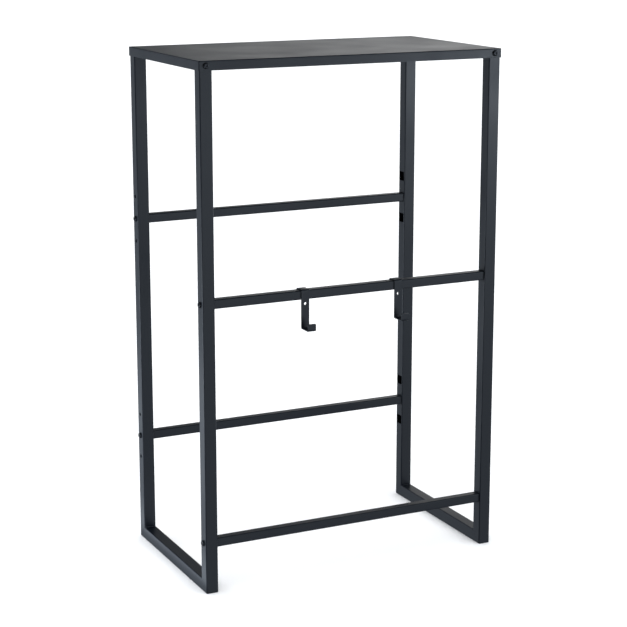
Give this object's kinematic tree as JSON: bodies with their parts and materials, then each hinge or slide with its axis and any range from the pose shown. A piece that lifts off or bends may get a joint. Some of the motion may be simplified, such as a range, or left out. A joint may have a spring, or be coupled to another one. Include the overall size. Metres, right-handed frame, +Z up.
{
  "type": "over the toilet storage rack",
  "caption": "Free-standing square-tube steel rack with a folded sheet-metal top shelf, slotted rear bars that can be moved up or down, and strip hooks that slide on the front bar.",
  "frame": {"origin": "on the floor, in the middle of the footprint, which the hooks extend at the front", "axes": "+X to the rack's right seen from the front, +Y to the rear, +Z up"},
  "size_m": [0.5666, 0.3456, 0.9],
  "materials": {
    "powder_coat": "dark slate-grey powder coat, fine orange peel, satin",
    "shelf_coat": "the same dark slate-grey powder coat on sheet metal, satin",
    "black_screw": "black-oxide steel, lightly oiled, semi-gloss",
    "zinc_steel": "bright zinc plate"
  },
  "bodies": {
    "rack": {"left_front_post": "powder_coat", "left_rear_post": "powder_coat", "left_floor_rail": "powder_coat", "right_front_post": "powder_coat", "right_rear_post": "powder_coat", "right_floor_rail": "powder_coat", "top_shelf": "shelf_coat", "left_front_shelf_screw": "black_screw", "left_front_shelf_nut": "zinc_steel", "left_rear_shelf_screw": "black_screw", "left_rear_shelf_nut": "zinc_steel", "right_front_shelf_screw": "black_screw", "right_front_shelf_nut": "zinc_steel", "right_rear_shelf_screw": "black_screw", "right_rear_shelf_nut": "zinc_steel", "rear_upper_bar": "powder_coat", "rear_upper_bar_left_insert": "zinc_steel", "rear_upper_bar_left_screw": "black_screw", "rear_upper_bar_right_insert": "zinc_steel", "rear_upper_bar_right_screw": "black_screw", "front_middle_bar": "powder_coat", "front_middle_bar_left_insert": "zinc_steel", "front_middle_bar_left_screw": "black_screw", "front_middle_bar_right_insert": "zinc_steel", "front_middle_bar_right_screw": "black_screw", "rear_lower_bar": "powder_coat", "rear_lower_bar_left_insert": "zinc_steel", "rear_lower_bar_left_screw": "black_screw", "rear_lower_bar_right_insert": "zinc_steel", "rear_lower_bar_right_screw": "black_screw", "front_lower_bar": "powder_coat", "front_lower_bar_left_insert": "zinc_steel", "front_lower_bar_left_screw": "black_screw", "front_lower_bar_right_insert": "zinc_steel", "front_lower_bar_right_screw": "black_screw"},
    "left_hook": {"left_hook": "powder_coat"},
    "right_hook": {"right_hook": "powder_coat"}
  },
  "joints": [
    {"name": "left_hook_slide", "type": "slide", "parent": "rack", "child": "left_hook", "axis": [1, 0, 0], "range_m": [-0.157, 0.162]},
    {"name": "right_hook_slide", "type": "slide", "parent": "rack", "child": "right_hook", "axis": [1, 0, 0], "range_m": [-0.162, 0.165]}
  ]
}
